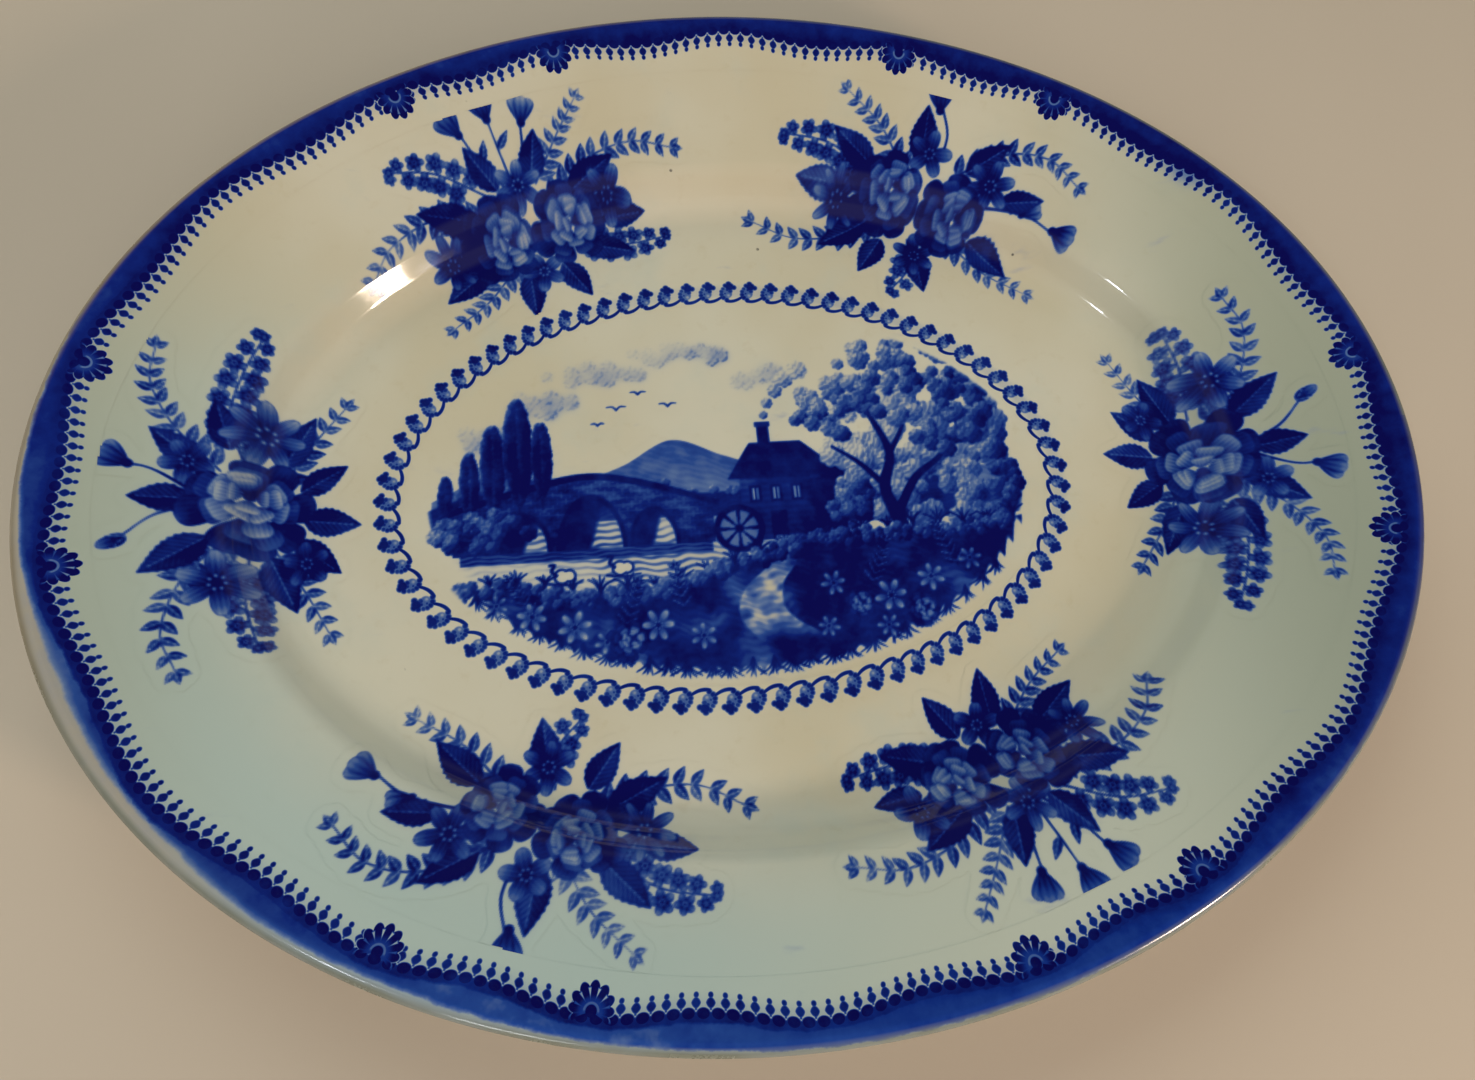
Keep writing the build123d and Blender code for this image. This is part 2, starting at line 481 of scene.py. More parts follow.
def border_ink(recipe):
    count, depth, inset = recipe.stored("run")
    fan_over, fan_in, _ = recipe.stored("fan")
    margin, strength, smudge = recipe.stored("lay")
    _, soft, thin = recipe.stored("edge")
    pitch = girth / drop_count
    over = abs(count.math("FRACT", count) - 0.5) * pitch
    where = recipe.add("ShaderNodeTexCoord", {}, {}, "Object")
    fray = recipe.noise(where, 150.0, 4.0, 0.65) - 0.5

    # beads along the edge of the band, with a drop hung between each two
    bead = (((pitch / 2 - over) / bead_long) ** 2 + ((depth + 0.8) / bead_high) ** 2) ** 0.5
    beads = bead.between(1.16, 0.82)
    drop = ((over / 1.15) ** 1.5 + (abs(depth - 1.5) / 1.2) ** 1.5).between(1.4, 0.6)
    dot = ((over ** 2 + (depth - 3.2) ** 2) ** 0.5).between(0.9, 0.35)
    stem = over.between(0.5, 0.1) * depth.between(-0.4, 0.2) * depth.between(3.2, 2.8) * 0.6
    fringe = beads.most(drop * 0.86).most(dot * 0.84).most(stem)

    # the band itself, thinner towards the lip and patchy where it is palest
    patch = recipe.noise(where, 58.0, 4.0, 0.6).between(0.44, 0.68) * (0.05 + thin * 0.45)
    line = depth.between(-0.2, -0.7) * (depth + fray * 2.4).between(-4.4, -2.4) * 0.85
    band = depth.between(-0.2, -0.7) * strength
    ragged = inset - margin - fray * (3.2 - soft)
    start = ragged.between(soft * -1 - 0.5, soft * 1.5 + 0.6)
    even = 0.86 + depth.between(-5.0, -1.5) * 0.14 + fray * 0.3
    band = band * start * (even - patch - thin * 0.16)

    # fans: a dark heart in a thin pale ring, and round-ended lobes with pale drops between them
    away = (fan_over ** 2 + fan_in ** 2) ** 0.5
    turn = fan_over.math("ARCTAN2", abs(fan_over), fan_in)
    wave = turn * (math.pi / fan_lobe)
    axis = abs(wave.math("COSINE", wave))
    reach = (fan_size + 1.4 * axis ** 0.8) * (0.84 + 0.16 * turn.math("COSINE", turn))
    in_fan = (away - reach).between(0.2, -0.3) * turn.between(2.25, 2.05)
    tear = axis * away * 0.161 - ((away - 2.3) * 0.17).least((reach - away) * 0.5)
    tears = tear.between(0.06, -0.24) * turn.between(2.2, 0.5)
    ring = away.between(1.3, 1.65) * away.between(2.2, 1.85) * turn.between(1.9, 1.4)
    heart = away.between(1.65, 1.3)
    lobes = (0.7 + away.between(2.2, 4.4) * 0.28) * (1 - tears * (1.9 - strength * 1.4))
    fan = (lobes * in_fan).most(heart) * (1 - ring * 0.5)
    clear = away.between(reach - 0.1, reach + 0.5).most(turn.between(1.8, 2.05))
    spread = 0.14 * depth.between(5.5, 0.0) + smudge
    ink = (fringe.most(line) * clear).most(band * (1 - in_fan)).most(fan)
    return ink.most(spread)


line, way_out, girth = spaced_oval(half_length, half_width, 4 * drop_count)
run = np.linspace(0, girth, len(line))
lip_rows = lip[lip[:, 2] > math.radians(-80)][::-2]
inset = np.append(half_length - lip_rows[:, 0], border_rows)
plan = line[None] - inset[:, None, None] * way_out[None]
height, out = on_face(plan[..., 0], plan[..., 1])
for k, (_, lip_height, heading) in enumerate(lip_rows):
    height[k] = lip_height
    out[k] = np.column_stack([-math.sin(heading) * way_out, np.full(len(line), math.cos(heading))])
places = np.dstack([plan, height]) + print_lift * out
quads = grid_quads(*height.shape)
border = piece("rim_border", places, quads.tolist(), out, earthenware("rim_print", border_ink))
strip_map(border, *height.shape, 6)

depth = inset[:, None] - scallops(run, girth)
nearest = (run[:, None] - np.array(fan_places) + girth / 2) % girth - girth / 2
fan = np.abs(nearest).argmin(1)
nearest = nearest[np.arange(len(run)), fan]
heart = scallops(np.array(fan_places), girth)[fan] + fan_drop
margin = np.interp(
    run,
    (0, 480, 510, 540, 570, 605, 640, 665, 690, 720, 750, 780, 810, 840, 900, 1000, girth),
    (0.2, 0.7, 1.8, 2.4, 3.4, 5.0, 4.4, 4.1, 2.9, 3.2, 2.7, 1.9, 1.7, 1.3, 1.2, 0.9, 0.2),
)
strength = 0.87 + 0.12 * np.cos(2 * math.pi * (run - 170) / girth) + 0.03 * np.sin(run / 9)
strength = strength + 0.1 * np.exp(-((run - 545) / 35) ** 2)
strength = strength - 0.27 * np.exp(-((run - 600) / 18) ** 2)
smudge = 0.16 * np.exp(-((run - 108) / 6) ** 2) * np.exp(-((inset[:, None] - 8) / 5) ** 2)
store(border, "run", (run / girth * drop_count)[None], depth, inset[:, None])
store(border, "fan", nearest[None], np.where(np.abs(nearest) < 9, inset[:, None] - heart, 99), 0)
store(border, "lay", margin[None], strength[None], smudge)
soft = 1.3 * np.exp(-((run - 650) / 90) ** 2)
thin = np.exp(-((run - 765) / 35) ** 2)
kept = 1 - 0.75 * np.exp(-((run - 1075) / 40) ** 2)
store(border, "edge", worn_and_shaded_edge(places) * kept, soft[None], thin[None])

# ---- Printed scroll round the well ----
# A running scroll with a leaf in every turn, on the floor of the well. It is printed
# with the picture inside it, from the same copper plate.
scroll_long = 102.9
scroll_wide = 66.7
scroll_middle = (-5.8, 1.15)
scroll_bend = 0.7
scroll_count = 80
scroll_pitch = 6.7625
scroll_rows = np.arange(-4.5, 5.5, 1.0)


def scroll_ink(recipe):
    count, out, _ = recipe.stored("run")
    along = (count.math("FRACT", count + 0.5) - 0.5) * scroll_pitch

    # each turn: a tail back to the last one, a knotted curl on its far side, and a three-lobed leaf
    back = along - along.math("GREATER_THAN", along, 2.3) * scroll_pitch
    ink = abs(out + 3.5 - (back + 0.3) ** 2 * 0.1).between(0.85, 0.25) * back.between(1.6, 1.0) * 0.8
    for x, y, radius, depth in (
        (0.6, -0.6, 1.8, 0.43),
        (0.4, 0.8, 0.65, 0.76),
        (1.2, -0.6, 0.5, 0.7),
        (1.7, 1.1, 0.7, 0.66),
        (2.25, 0.1, 0.75, 0.72),
        (2.3, -1.0, 0.8, 0.78),
        (1.8, -2.1, 0.85, 0.8),
        (0.8, -2.9, 0.8, 0.8),
        (-0.5, 0.3, 0.8, 0.72),
        (-0.4, 1.9, 1.45, 0.86),
        (-1.75, 1.6, 0.85, 0.84),
        (-0.15, 3.0, 0.85, 0.86),
        (0.9, 2.3, 0.8, 0.8),
    ):
        away = ((along - x) ** 2 + (out - y) ** 2) ** 0.5
        ink = ink.most(away.between(radius + 0.5, radius - 0.5) * depth)
    away = ((along - 0.1) ** 2 + (out + 1.3) ** 2) ** 0.5
    ink = ink * (1 - away.between(1.0, 0.1) * 0.45)
    turn = (count / scroll_count - 0.13) * (2 * math.pi)
    flow = turn.math("COSINE", turn) * 0.05 + 0.09
    return ink.most(abs(out).between(4.3, 0.8) * flow)


line, way_out, girth = spaced_oval(scroll_long, scroll_wide, 8 * scroll_count)
wander = -scroll_bend * np.sin(3 * np.arctan2(line[:, 1] / scroll_wide, line[:, 0] / scroll_long))
rows_out = scroll_rows[::-1, None] + wander
plan = line[None] + rows_out[..., None] * way_out[None] + scroll_middle
height = np.full(plan.shape[:2], face[0][1])
out = np.zeros((*height.shape, 3)) + (0, 0, 1)
places = np.dstack([plan, height]) + 1.2 * print_lift * out
quads = grid_quads(*height.shape)
scroll = piece("scroll_border", places, quads.tolist(), out, earthenware("scroll_print", scroll_ink))
strip_map(scroll, *height.shape, 4)
turns_run = np.linspace(0, scroll_count, len(line))
stops = (0, 8, 26, 32, 52, 58, 66, 74, 80)
turns_run = turns_run - np.interp(turns_run, stops, (0.1, 0.3, 0.26, -0.1, -0.28, -0.1, 0.34, 0.1, 0.1))
store(scroll, "run", turns_run[None], scroll_rows[::-1, None], 0)

# ---- Six sprays of flowers ----
# Flowers, leaves and ferny fronds, two of each design facing across the platter. Each is
# engraved on a copper plate, printed in cobalt on tissue, and rubbed on under the glaze.
luck = np.random.default_rng(7)


class Plate:
    """A copper plate being engraved: how much ink each point holds, on a fine grid, in millimetres."""

    def __init__(self, wide, tall, cell):
        self.cell = cell
        self.x = np.arange(-wide / 2, wide / 2, cell)
        self.y = np.arange(-tall / 2, tall / 2, cell)
        self.ink = np.zeros((len(self.y), len(self.x)))

    def part(self, x, y, reach, up=None):
        """Where the square round a point lies on the plate, and its grid measured from the point."""
        up = reach if up is None else up
        columns = slice(*np.searchsorted(self.x, (x - reach, x + reach)))
        rows = slice(*np.searchsorted(self.y, (y - up, y + up)))
        across, along = np.meshgrid(self.x[columns] - x, self.y[rows] - y)
        return (rows, columns), across, along

    def lay(self, where, cover, depth):
        """Covers part of the plate with a depth of ink, over what is cut there already."""
        self.ink[where] += (depth - self.ink[where]) * np.clip(cover, 0, 1)

    def soften(self, spread):
        """The ink spread out by that much, as it flows under the glaze."""
        rows = np.fft.fftfreq(self.ink.shape[0], self.cell)
        columns = np.fft.rfftfreq(self.ink.shape[1], self.cell)
        keep = np.exp(-2 * (math.pi * spread) ** 2 * (rows[:, None] ** 2 + columns[None] ** 2))
        return np.fft.irfft2(np.fft.rfft2(self.ink) * keep, self.ink.shape)


def toward(angle, away=1.0):
    """Where a step at a heading in degrees leads from the middle."""
    return away * np.array([math.cos(math.radians(angle)), math.sin(math.radians(angle))])


def way(start, end):
    """The heading in degrees from one place to another."""
    return math.degrees(math.atan2(end[1] - start[1], end[0] - start[0]))


def turned(across, along, angle):
    """The grid measured along a heading in degrees, and to its left."""
    c, s = toward(angle)
    return across * c + along * s, along * c - across * s


def leaf(plate, x, y, angle, length, width, depth=0.85, teeth=0.12):
    """A pointed leaf from its stalk: toothed edge, pale rib and veins, one half in shade."""
    where, across, along = plate.part(x, y, length * 1.1)
    run, over = turned(across, along, angle)
    run = run / length
    half = np.sin(math.pi * np.clip(run, 0, 1) ** 0.72)
    half = half * (1 - teeth * np.abs(np.sin(run * length * 1.9)))
    side = over / (width / 2)
    cover = (half - np.abs(side)) * width / 2 / 0.22 + 0.3
    veins = 0.5 + 0.5 * np.cos(2 * math.pi * (run * length / 1.5 - np.abs(side) * width * 0.35))
    tone = depth * (0.92 + 0.12 * np.sign(side))
    tone = tone - 0.3 * depth * veins ** 3 * (np.abs(side) < half - 0.18)
    tone = tone - 0.5 * depth * (np.abs(over) < 0.2) * (run < 0.85)
    plate.lay(where, np.where((run > 0) & (run < 1), cover, 0), np.clip(tone, 0, 1))


def petal(plate, x, y, angle, length, width, depth=0.6, fill=0.18, tip=2.4, lines=5.0):
    """A rounded petal from its base: dark where it joins, lined along its length, with an inked edge."""
    where, across, along = plate.part(x, y, length * 1.15 + width / 2)
    run, over = turned(across, along, angle)
    run = np.clip(run / length, -0.2, 1.2)
    inner = np.clip(run, 0, 1)
    half = np.sqrt(inner) * np.sqrt(np.clip(1 - inner ** tip, 0, 1)) * 1.15
    side = over / (width / 2)
    edge = (half - np.abs(side)) * width / 2
    edge = np.minimum(edge, (1 - run) * length)
    lined = 0.5 + 0.5 * np.cos(side * math.pi * lines)
    tone = fill + depth * (1 - inner) ** 1.5 + 0.5 * depth * lined * (1 - inner) ** 0.7
    tone = tone + 0.7 * depth * np.clip(1 - edge / 0.42, 0, 1)
    plate.lay(where, np.where(run > 0, edge / 0.2 + 0.4, 0), np.clip(tone, 0, 1))


def disc(plate, x, y, radius, depth, soft=0.2):
    """A round spot: a berry, a bead or a flower's eye."""
    where, across, along = plate.part(x, y, radius + 3 * soft)
    plate.lay(where, (radius - np.hypot(across, along)) / soft + 0.5, depth)


def curve(points):
    """Places about 0.6 apart on a smooth line through points."""
    points = np.array(points, float)
    ends = np.vstack([2 * points[0] - points[1], points, 2 * points[-1] - points[-2]])
    made = []
    for a, b, c, d in zip(ends, ends[1:], ends[2:], ends[3:]):
        t = np.linspace(0, 1, max(2, int(np.hypot(*(c - b)) / 0.6)), endpoint=False)[:, None]
        squared = (2 * a - 5 * b + 4 * c - d) * t ** 2
        cubed = (3 * b - a - 3 * c + d) * t ** 3
        made.append((2 * b + (c - a) * t + squared + cubed) / 2)
    made.append(points[-1:])
    return np.vstack(made)


def stroke(plate, points, thick, thin, depth=0.8):
    """A line cut along a smooth curve, from thick at its start to thin at its end."""
    line = curve(points)
    for i, (a, b) in enumerate(zip(line, line[1:])):
        half = (thick + (thin - thick) * i / len(line)) / 2
        long = np.hypot(*(b - a)) / 2
        where, across, along = plate.part(*((a + b) / 2), long + half + 0.5)
        run, over = turned(across, along, way(a, b))
        reach = np.hypot(np.maximum(np.abs(run) - long, 0), over)
        plate.lay(where, (half - reach) / 0.2 + 0.5, np.maximum(plate.ink[where], depth))
    return line


def frond(plate, points, size, depth=0.6):
    """A stalk set with pairs of small leaves that get smaller to its tip."""
    line = stroke(plate, points, 0.45, 0.25, depth)
    count = int(len(line) * 0.6 / (size * 0.62))
    for k in range(count + 1):
        at = int((k + 0.6) / (count + 0.6) * (len(line) - 1))
        angle = way(line[max(at - 1, 0)], line[min(at + 1, len(line) - 1)])
        small = size * (1 - 0.45 * k / (count + 1))
        for side in (-1, 1):
            turn = side * (52 + 8 * luck.uniform(-1, 1))
            tone = depth * luck.uniform(0.85, 1.15)
            leaf(plate, *line[at], angle + turn, small, small / 2, tone, 0)
    leaf(plate, *line[-1], angle, size * 0.6, size * 0.3, depth, 0)


def open_flower(plate, x, y, radius, petals, turn=0.0, depth=0.6, fill=0.2, narrow=1.0):
    """A flower seen from the front: a ring of petals round a dark eye with pale stamens."""
    wide = 2 * math.pi * radius / petals * 0.62 * narrow
    for k in (*range(0, petals, 2), *range(1, petals, 2)):
        angle = turn + 360 * k / petals + luck.uniform(-5, 5)
        petal(plate, x, y, angle, radius * luck.uniform(0.92, 1.06), wide, depth, fill)
    disc(plate, x, y, radius * 0.24, 0.9, 0.25)
    for k in range(7):
        disc(plate, *((x, y) + toward(turn + k * 51.4, radius * 0.2)), radius * 0.045 + 0.1, 0.15)


def sprig(plate, points, size, depth=0.6):
    """A stalk with little five-petalled blossoms on short stems to both sides."""
    line = stroke(plate, points, 0.4, 0.25, depth)
    for k, at in enumerate(range(len(line) - 2, 4, -4)):
        out = line[at] - line[at - 1]
        out = out / np.hypot(*out)
        small = size * min(1, 0.6 + 0.09 * k)
        end = line[at] + (-1) ** k * np.array([-out[1], out[0]]) * small * 0.95 + out * small * 0.3
        stroke(plate, [line[at], end], 0.3, 0.3, depth)
        open_flower(plate, *end, small, 5, luck.uniform(0, 72), depth, 0.14, 1.15)
    open_flower(plate, *line[-1], size * 0.55, 5, 0, depth, 0.14, 1.15)


def full_flower(plate, x, y, radius, turn=0.0, depth=0.75, pale=0.1):
    """A full garden flower: rings of cupped petals, darkest in the folds, palest in the heart."""
    rings = ((1.0, 8, 0.6), (0.8, 7, 0.42), (0.63, 6, 0.14), (0.47, 5, 0.03), (0.31, 4, 0.0))
    tip = toward(turn, radius * 0.42)
    for size, petals, fill in rings:
        for k in range(petals):
            angle = turn * size + 360 * k / petals + luck.uniform(-12, 12)
            start = (x, y) + toward(angle, radius * size * 0.3) + tip * (1 - size)
            long = radius * size * 0.72 * luck.uniform(0.85, 1.12)
            wide = 2 * math.pi * radius * size / petals * 0.85
            tone = depth * (0.32 + 0.6 * size)
            petal(plate, *start, angle, long, wide, tone, max(fill, pale), 5.0, 7.0)
    disc(plate, *((x, y) + tip * 0.7), radius * 0.09, 0.8, 0.4)


def bell(plate, x, y, angle, length, depth=0.6):
    """A nodding bell flower on its calyx."""
    for turn, wide in ((-24, 0.5), (24, 0.5), (0, 0.62)):
        petal(plate, x, y, angle + turn, length, length * wide, depth, 0.25, 6.0, 3.0)
    disc(plate, x, y, length * 0.16, 0.95)


def bud(plate, x, y, angle, length, depth=0.7):
    """A closed bud held by two sepals."""
    petal(plate, x, y, angle, length, length * 0.62, depth, 0.3, 2.0, 3.0)
    for turn in (24, -24):
        leaf(plate, x, y, angle + turn, length * 0.66, length * 0.26, 0.95, 0)


def leaves(plate, rows):
    """Leaves of uneven depth, each by its stalk, heading, length and width."""
    for row in rows:
        leaf(plate, *row, luck.uniform(0.8, 1.0))


def rose_spray(plate):
    """A full flower between open ones, with fronds and berries to both ends."""
    frond(plate, [(-8, 3), (-20, 12), (-34, 15), (-44, 11)], 6.5, 0.62)
    frond(plate, [(-10, -5), (-22, -13), (-33, -19)], 6.5, 0.5)
    frond(plate, [(9, 6), (20, 16), (31, 21), (40, 20)], 6.0, 0.55)
    frond(plate, [(8, -6), (20, -14), (30, -22)], 6.5, 0.66)
    sprig(plate, [(10, 1), (24, 4), (36, 1), (46, -4)], 3.0, 0.7)
    sprig(plate, [(-12, 0), (-26, -1), (-38, -5)], 3.0, 0.66)
    stroke(plate, [(0, 10), (-4, 19), (-10, 25)], 0.6, 0.35)
    stroke(plate, [(2, 10), (8, 20), (9, 27)], 0.6, 0.35)
    bud(plate, -10, 24, 120, 6.5)
    bell(plate, 9, 25, 62, 7)
    leaves(plate, (
        (-9, 8, 128, 17, 9), (9, 9, 50, 16, 8.5), (-12, -4, 205, 17, 9.5), (13, -6, 330, 17, 9),
        (-2, -12, 262, 15, 8.5), (6, -11, 300, 14, 7.5), (-8, -10, 232, 15, 8), (15, 4, 14, 14, 8),
        (1, 12, 92, 13, 8),
    ))
    open_flower(plate, -21, 5, 9.0, 6, 12, 0.66, 0.16)
    open_flower(plate, 21, -3, 9.5, 7, 0, 0.7, 0.18)
    open_flower(plate, 11, 13, 6.5, 5, 30, 0.6, 0.25)
    open_flower(plate, -14, -13, 6.5, 5, 8, 0.72, 0.3)
    full_flower(plate, 0, 0, 14.0, 10)


def daisy_spray(plate):
    """Open flowers in a loose garland, with long trailing fronds."""
    frond(plate, [(-6, -2), (-18, -12), (-32, -17), (-45, -15)], 7.0, 0.6)
    frond(plate, [(-4, 6), (-14, 17), (-26, 24)], 6.0, 0.5)
    frond(plate, [(12, -4), (26, -13), (40, -17)], 6.5, 0.55)
    frond(plate, [(10, 8), (24, 17), (37, 18), (47, 12)], 6.0, 0.66)
    sprig(plate, [(-14, 4), (-28, 9), (-42, 8)], 3.0, 0.7)
    sprig(plate, [(2, -8), (4, -18), (0, -27)], 3.0, 0.65)
    stroke(plate, [(4, 8), (6, 18), (2, 27)], 0.6, 0.35)
    stroke(plate, [(20, 2), (34, 2), (44, -2)], 0.6, 0.35)
    bell(plate, 2, 25, 100, 7)
    bell(plate, 43, -1, -16, 7)
    bell(plate, 33, 2, 32, 6)
    leaves(plate, (
        (-12, -6, 222, 17, 9), (-14, 6, 150, 16, 9), (0, 10, 96, 16, 9), (14, 10, 42, 15, 8),
        (20, -5, 330, 16, 9), (4, -10, 292, 16, 9), (-6, -10, 250, 14, 8), (26, 4, 12, 13, 7),
        (-22, 0, 186, 14, 8),
    ))
    open_flower(plate, -22, -3, 8.0, 8, 0, 0.72, 0.2)
    open_flower(plate, 22, 8, 7.5, 6, 20, 0.66, 0.22)
    open_flower(plate, 2, 13, 6.5, 5, 10, 0.6, 0.25)
    open_flower(plate, 5, -13, 7.0, 6, 40, 0.72, 0.25)
    full_flower(plate, -8, 1, 11.0, 40, 0.8)
    full_flower(plate, 12, -1, 10.0, 5, 0.7, 0.14)


def bell_spray(plate):
    """Two full flowers low in the leaves, with bell flowers rising over them."""
    frond(plate, [(-10, 2), (-24, 6), (-38, 2), (-46, -5)], 6.5, 0.6)
    frond(plate, [(8, 2), (22, 10), (36, 11), (47, 6)], 6.5, 0.6)
    frond(plate, [(-6, -8), (-18, -17), (-30, -22)], 6.0, 0.55)
    frond(plate, [(6, 8), (16, 18), (25, 26)], 5.5, 0.5)
    sprig(plate, [(10, -6), (24, -12), (38, -14)], 3.0, 0.7)
    sprig(plate, [(-8, 8), (-20, 17), (-32, 20)], 3.0, 0.66)
    for x, y, lean in ((-10, 26, 118), (-1, 28, 95), (8, 25, 70)):
        stroke(plate, [(x * 0.2, 8), (x * 0.7, 17), (x, y)], 0.55, 0.35)
        bell(plate, x, y - 1, lean, 7.0)
        leaf(plate, x * 0.6, y - 9, lean - 50, 6, 2.4)
    leaves(plate, (
        (-14, 3, 160, 16, 9), (-15, -7, 205, 16, 9), (15, 4, 20, 16, 9), (14, -8, 330, 16, 9),
        (-4, -12, 258, 15, 8), (6, -12, 288, 14, 8), (-5, 9, 112, 14, 8), (5, 9, 66, 14, 8),
        (22, -3, 352, 13, 7),
    ))
    open_flower(plate, 1, 9, 7.0, 6, 15, 0.66, 0.2)
    open_flower(plate, 0, -13, 6.5, 5, 30, 0.7, 0.25)
    open_flower(plate, -24, -4, 7.0, 7, 0, 0.66, 0.22)
    open_flower(plate, 25, 1, 7.0, 5, 50, 0.66, 0.22)
    full_flower(plate, -9, -2, 11.0, 0, 0.78)
    full_flower(plate, 11, -3, 10.5, 30, 0.74)


def clouded(plate, spread):
    """Slow chance unevenness over a plate, about 0 with most of it between -1 and 1."""
    chance = Plate(0, 0, plate.cell)
    chance.ink = luck.normal(size=plate.ink.shape)
    soft = chance.soften(spread)
    return soft / soft.std()


def within_oval(x, y, middle, long, wide):
    """Whether places lie in an oval, by its middle, half-length and half-width."""
    return np.hypot((x - middle[0]) / long, (y - middle[1]) / wide) < 1


def between_borders(x, y):
    """Whether places lie on the bare china between the rim's border and the scroll."""
    room = scroll_rows[-1] + 1
    in_scroll = within_oval(x, y, scroll_middle, scroll_long + room, scroll_wide + room)
    inset = border_rows[-1]
    return within_oval(x, y, (0, 0), half_length - inset, half_width - inset) & ~in_scroll


def printed(name, plate, middle, turn, gap, lift, within, deepest, stretch=1.0):
    """The print off a plate as a thin skin on the face, as wide as the ink and its halo reach."""
    plate.ink = np.clip(plate.ink, 0, 1)
    patchy = 0.92 + 0.09 * clouded(plate, 5.0) + 0.07 * clouded(plate, 1.2)
    ink = plate.soften(0.17) * patchy + 0.18 * plate.soften(0.9) + 0.1 * plate.soften(3.0)
    ink = ink + 0.46 * np.clip(ink - 0.24, 0, 1)
    ink = ink / (1 + (ink / deepest) ** 4) ** 0.25
    near = plate.soften(1.2) > 0.01
    x = np.arange(plate.x[0], plate.x[-1], gap)
    y = np.arange(plate.y[0], plate.y[-1], gap)
    column = (x - plate.x[0]) / plate.cell
    row = (y - plate.y[0]) / plate.cell
    left = np.minimum(column.astype(int), len(plate.x) - 2)
    low = np.minimum(row.astype(int), len(plate.y) - 2)
    u = column - left
    v = (row - low)[:, None]
    near_row, next_row = [ink[low + k][:, left] * (1 - u) + ink[low + k][:, left + 1] * u for k in (0, 1)]
    sampled = near_row * (1 - v) + next_row * v
    across, along = np.meshgrid(x * stretch, y * stretch)
    c, s = toward(turn)
    plan_x = middle[0] + across * c - along * s
    plan_y = middle[1] + across * s + along * c
    quads = grid_quads(*sampled.shape)
    inked = near[low][:, left].ravel()[quads].any(1)
    free = within(plan_x, plan_y).ravel()[quads].all(1)
    used, quads = np.unique(quads[inked & free], return_inverse=True)
    plan_x, plan_y, sampled = [v.ravel()[used] for v in (plan_x, plan_y, sampled)]
    height, out = on_face(plan_x, plan_y)
    places = np.stack([plan_x, plan_y, height], -1) + lift * out
    made = piece(name, places, quads.reshape(-1, 4).tolist(), out, cobalt_print)
    store(made, "ink", sampled, 0, 0)
    flat = np.stack([across.ravel()[used], along.ravel()[used]], -1)[quads.ravel()]
    flat = (flat - flat.min(0)) / (flat.max(0) - flat.min(0)).max() * 0.98 + 0.01
    bake_map(made, *flat.T)


cobalt_print = earthenware("cobalt_print", lambda recipe: recipe.stored("ink")[0])
spray_gap = 0.36
for name, design, middle, turn in (
    ("spray_east", rose_spray, (143, 0), -90),
    ("spray_north_east", daisy_spray, (62, 95), -18),
    ("spray_north_west", bell_spray, (-64, 92), 18),
    ("spray_west", rose_spray, (-145, 0), 90),
    ("spray_south_west", daisy_spray, (-64, -94), 162),
    ("spray_south_east", bell_spray, (62, -91), 198),
):
    plate = Plate(106, 68, 0.2)
    design(plate)
    printed(name, plate, middle, turn, spray_gap, 1.4 * print_lift, between_borders, 1.15, 1.1)

# ---- Picture in the well ----
# A landscape with a mill, a bridge, poplars and a great tree, engraved on the same plate as
# the scroll and printed with it on the floor of the well.
plate = Plate(196, 126, 0.22)
x, y = np.meshgrid(plate.x, plate.y)
oval = np.hypot(x / 95, y / 59)
springing = -17.5


def inside(distance, soft=0.25):
    """1 where the distance in from an edge is above 0, and 0 outside it, softly between."""
    return np.clip(distance / soft + 0.5, 0, 1)


def wash(cover, depth):
    """Lays a tone over the picture wherever cover is above 0."""
    plate.lay((slice(None), slice(None)), cover, depth)


def ruled(spacing, waver=0.0, steep=0.0):
    """Wavering parallel lines over the picture: 1 on them, 0 between."""
    sway = waver * (np.sin(x * 0.31 + y * 0.17) + 0.6 * np.sin(x * 0.83 + 1.3 + y * 0.4))
    return 0.5 + 0.5 * np.cos(2 * math.pi * (y + steep * x + sway) / spacing)


def block(left, right, low, high):
    """1 within an upright rectangle, falling off across its edges."""
    return inside(np.min([x - left, right - x, y - low, high - y], 0), 0.2)


def under(points, smooth=True):
    """1 below a line through points from left to right, falling off across it."""
    xs, ys = (curve(points) if smooth else np.array(points, float)).T
    return inside(np.min([np.interp(x, xs, ys) - y, x - xs[0], xs[-1] - x], 0))


def clump(x, y, size, depth, light=0.35):
    """A rounded mass of leaves with a scalloped edge, lit from the upper left."""
    where, across, along = plate.part(x, y, size * 1.4)
    turn = np.arctan2(along, across)
    start = luck.uniform(0, 6)
    edge = size * (0.84 + 0.16 * np.abs(np.sin(3.5 * turn + start)))
    shade = np.clip(0.5 + (across - along) / (2.4 * size), 0, 1)
    scales = np.cos(np.hypot(across + size, along - size) * 3.6 + 1.2 * np.sin(turn * 7 + start))
    tone = depth * (light + (1.15 - light) * shade) + 0.1 * scales
    plate.lay(where, (edge - np.hypot(across, along)) / 0.25 + 0.5, np.clip(tone, 0.04, 1))


def crown(x, y, wide, tall, size, depth, count):
    """Masses of leaves filling an oval, laid from the top of it down."""
    places = []
    while len(places) < count:
        px, py = luck.uniform(-1, 1, 2)
        if px * px + py * py < 1:
            places.append((px, py))
    for px, py in sorted(places, key=lambda place: -place[1]):
        tone = depth * (0.85 + 0.28 * px - 0.14 * py) * luck.uniform(0.72, 1.15)
        clump(x + px * wide, y + py * tall, size * luck.uniform(0.6, 1.15), tone)


